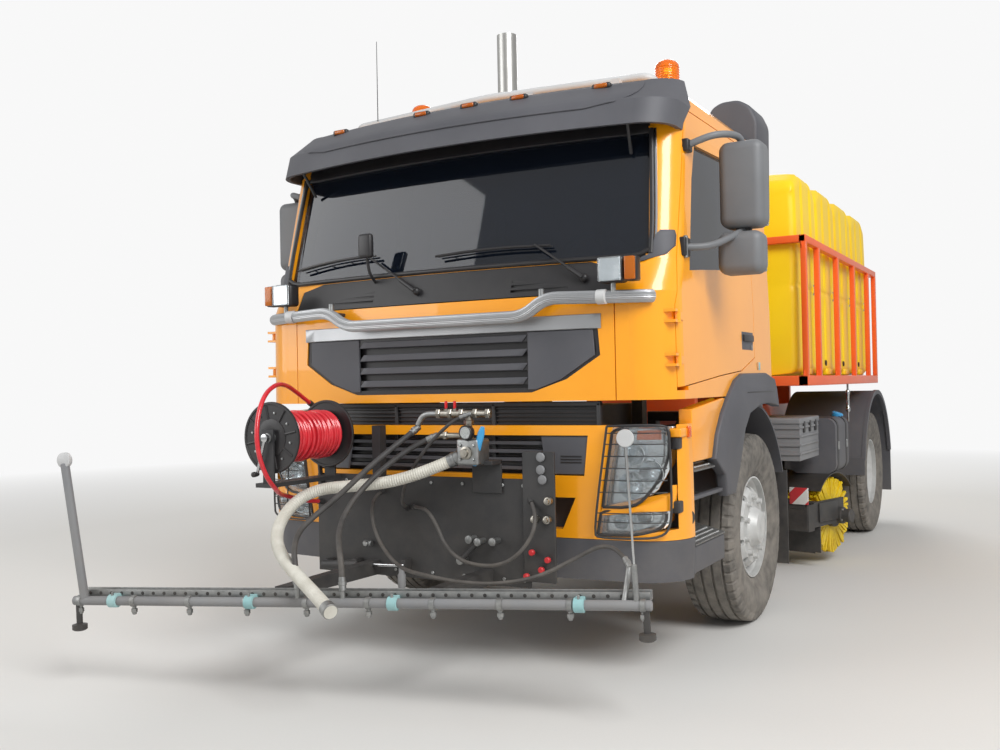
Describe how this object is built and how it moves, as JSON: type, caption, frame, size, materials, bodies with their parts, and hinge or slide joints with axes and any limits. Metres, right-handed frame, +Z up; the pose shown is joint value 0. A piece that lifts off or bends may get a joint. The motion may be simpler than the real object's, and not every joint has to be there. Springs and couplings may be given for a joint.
{
  "type": "street sweeper truck",
  "caption": "Two-axle forward-cab street sweeper truck with water tanks in a cage, a roller brush between the axles, and a washing bar, hose reel and manifold in front.",
  "frame": {"origin": "on the ground, under the middle of the whole vehicle's box", "axes": "-Y forward, +X to the vehicle's left, +Z up"},
  "size_m": [3.016, 7.5128, 3.83],
  "materials": {
    "cab_orange": "gloss",
    "frame_orange": "gloss",
    "chassis_grey": "satin",
    "dark_plastic": "matt",
    "black_gloss": "gloss",
    "tank_yellow": "satin",
    "tyre": "matt",
    "rim_silver": "satin",
    "glass": "clear",
    "steel": "dull",
    "lamp": "clear",
    "amber": "clear",
    "bristle": "matt",
    "fabric": "woven",
    "hose_black": "matt",
    "hose_white": "satin",
    "hose_red": "satin"
  },
  "bodies": {
    "chassis": {"air_intake": "chassis_grey", "bar_support": "chassis_grey", "battery_box": "chassis_grey", "beacons": "amber", "bumper_mask": "cab_orange", "cab_interior": "fabric", "cab_shell": "cab_orange", "chassis_frame": "chassis_grey", "cowl_panel": "black_gloss", "engine_block": "chassis_grey", "entry_steps": "dark_plastic", "exhaust_stack": "steel", "front_axle": "chassis_grey", "front_bumper": "dark_plastic", "front_fenders": "dark_plastic", "front_lid": "cab_orange", "fuel_tank": "dark_plastic", "grille": "dark_plastic", "headlamps": "lamp", "hose_black_1": "hose_black", "hose_black_2": "hose_black", "hose_black_3": "hose_black", "hose_black_4": "hose_black", "hose_green": "hose_black", "hose_red": "hose_red", "hose_white": "hose_white", "lamp_bar": "steel", "leaf_springs": "chassis_grey", "manifold": "steel", "propeller_shaft": "chassis_grey", "rear_axle": "chassis_grey", "rear_bar": "chassis_grey", "rear_fenders": "dark_plastic", "roof_rail": "steel", "sun_visor": "dark_plastic", "tank_frame": "frame_orange", "wash_bar": "steel", "water_tank": "tank_yellow", "windscreen": "glass"},
    "knuckle_left": {"knuckle_left": "chassis_grey"},
    "knuckle_right": {"knuckle_right": "chassis_grey"},
    "tie_rod": {"tie_rod": "chassis_grey"},
    "wheel_front_left": {"tyre_front_left": "tyre", "rim_front_left": "rim_silver"},
    "wheel_front_right": {"tyre_front_right": "tyre", "rim_front_right": "rim_silver"},
    "wheels_rear_left": {"tyres_rear_left": "tyre", "rims_rear_left": "rim_silver"},
    "wheels_rear_right": {"tyres_rear_right": "tyre", "rims_rear_right": "rim_silver"},
    "door_left": {"door_left": "cab_orange", "door_glass_left": "glass", "mirrors_left": "dark_plastic"},
    "door_right": {"door_right": "cab_orange", "door_glass_right": "glass", "mirrors_right": "dark_plastic"},
    "brush_arm": {"brush_arm": "chassis_grey"},
    "brush_roll": {"brush_roll": "bristle"},
    "hose_reel": {"hose_reel": "dark_plastic"}
  },
  "joints": [
    {"name": "steer_left", "type": "hinge", "parent": "chassis", "child": "knuckle_left", "pos_m": [0.86, -1.12361, 0.535], "axis": [0, 0, 1], "range_deg": [-35, 35]},
    {"name": "steer_right", "type": "hinge", "parent": "chassis", "child": "knuckle_right", "pos_m": [-0.86, -1.12361, 0.535], "axis": [0, 0, 1], "range_deg": [-35, 35]},
    {"name": "tie_rod_pivot", "type": "hinge", "parent": "knuckle_left", "child": "tie_rod", "pos_m": [0.86, -0.93361, 0.535], "axis": [0, 0, 1], "range_deg": [-35, 35]},
    {"name": "wheel_spin_front_left", "type": "hinge", "parent": "knuckle_left", "child": "wheel_front_left", "pos_m": [1.044, -1.12361, 0.535], "axis": [1, 0, 0], "continuous": true},
    {"name": "wheel_spin_front_right", "type": "hinge", "parent": "knuckle_right", "child": "wheel_front_right", "pos_m": [-1.044, -1.12361, 0.535], "axis": [1, 0, 0], "continuous": true},
    {"name": "wheel_spin_rear_left", "type": "hinge", "parent": "chassis", "child": "wheels_rear_left", "pos_m": [1.072, 2.67639, 0.535], "axis": [1, 0, 0], "continuous": true},
    {"name": "wheel_spin_rear_right", "type": "hinge", "parent": "chassis", "child": "wheels_rear_right", "pos_m": [-1.072, 2.67639, 0.535], "axis": [1, 0, 0], "continuous": true},
    {"name": "door_hinge_left", "type": "hinge", "parent": "chassis", "child": "door_left", "pos_m": [1.205, -2.45361, 1.7], "axis": [0, 0, -1], "range_deg": [0, 75]},
    {"name": "door_hinge_right", "type": "hinge", "parent": "chassis", "child": "door_right", "pos_m": [-1.205, -2.45361, 1.7], "axis": [0, 0, 1], "range_deg": [0, 75]},
    {"name": "brush_lift", "type": "hinge", "parent": "chassis", "child": "brush_arm", "pos_m": [0, 0.02639, 0.61], "axis": [1, 0, 0], "range_deg": [-2.6, 0]},
    {"name": "brush_spin", "type": "hinge", "parent": "brush_arm", "child": "brush_roll", "pos_m": [0.09, 1.24639, 0.354], "axis": [0.9659, -0.2588, 0], "continuous": true},
    {"name": "reel_spin", "type": "hinge", "parent": "chassis", "child": "hose_reel", "pos_m": [-0.582, -2.76561, 1.14], "axis": [0, 1, 0], "continuous": true}
  ],
  "couplings": [
    {"joint": "steer_right", "follows": "steer_left", "ratio": 1},
    {"joint": "tie_rod_pivot", "follows": "steer_left", "ratio": -1}
  ]
}
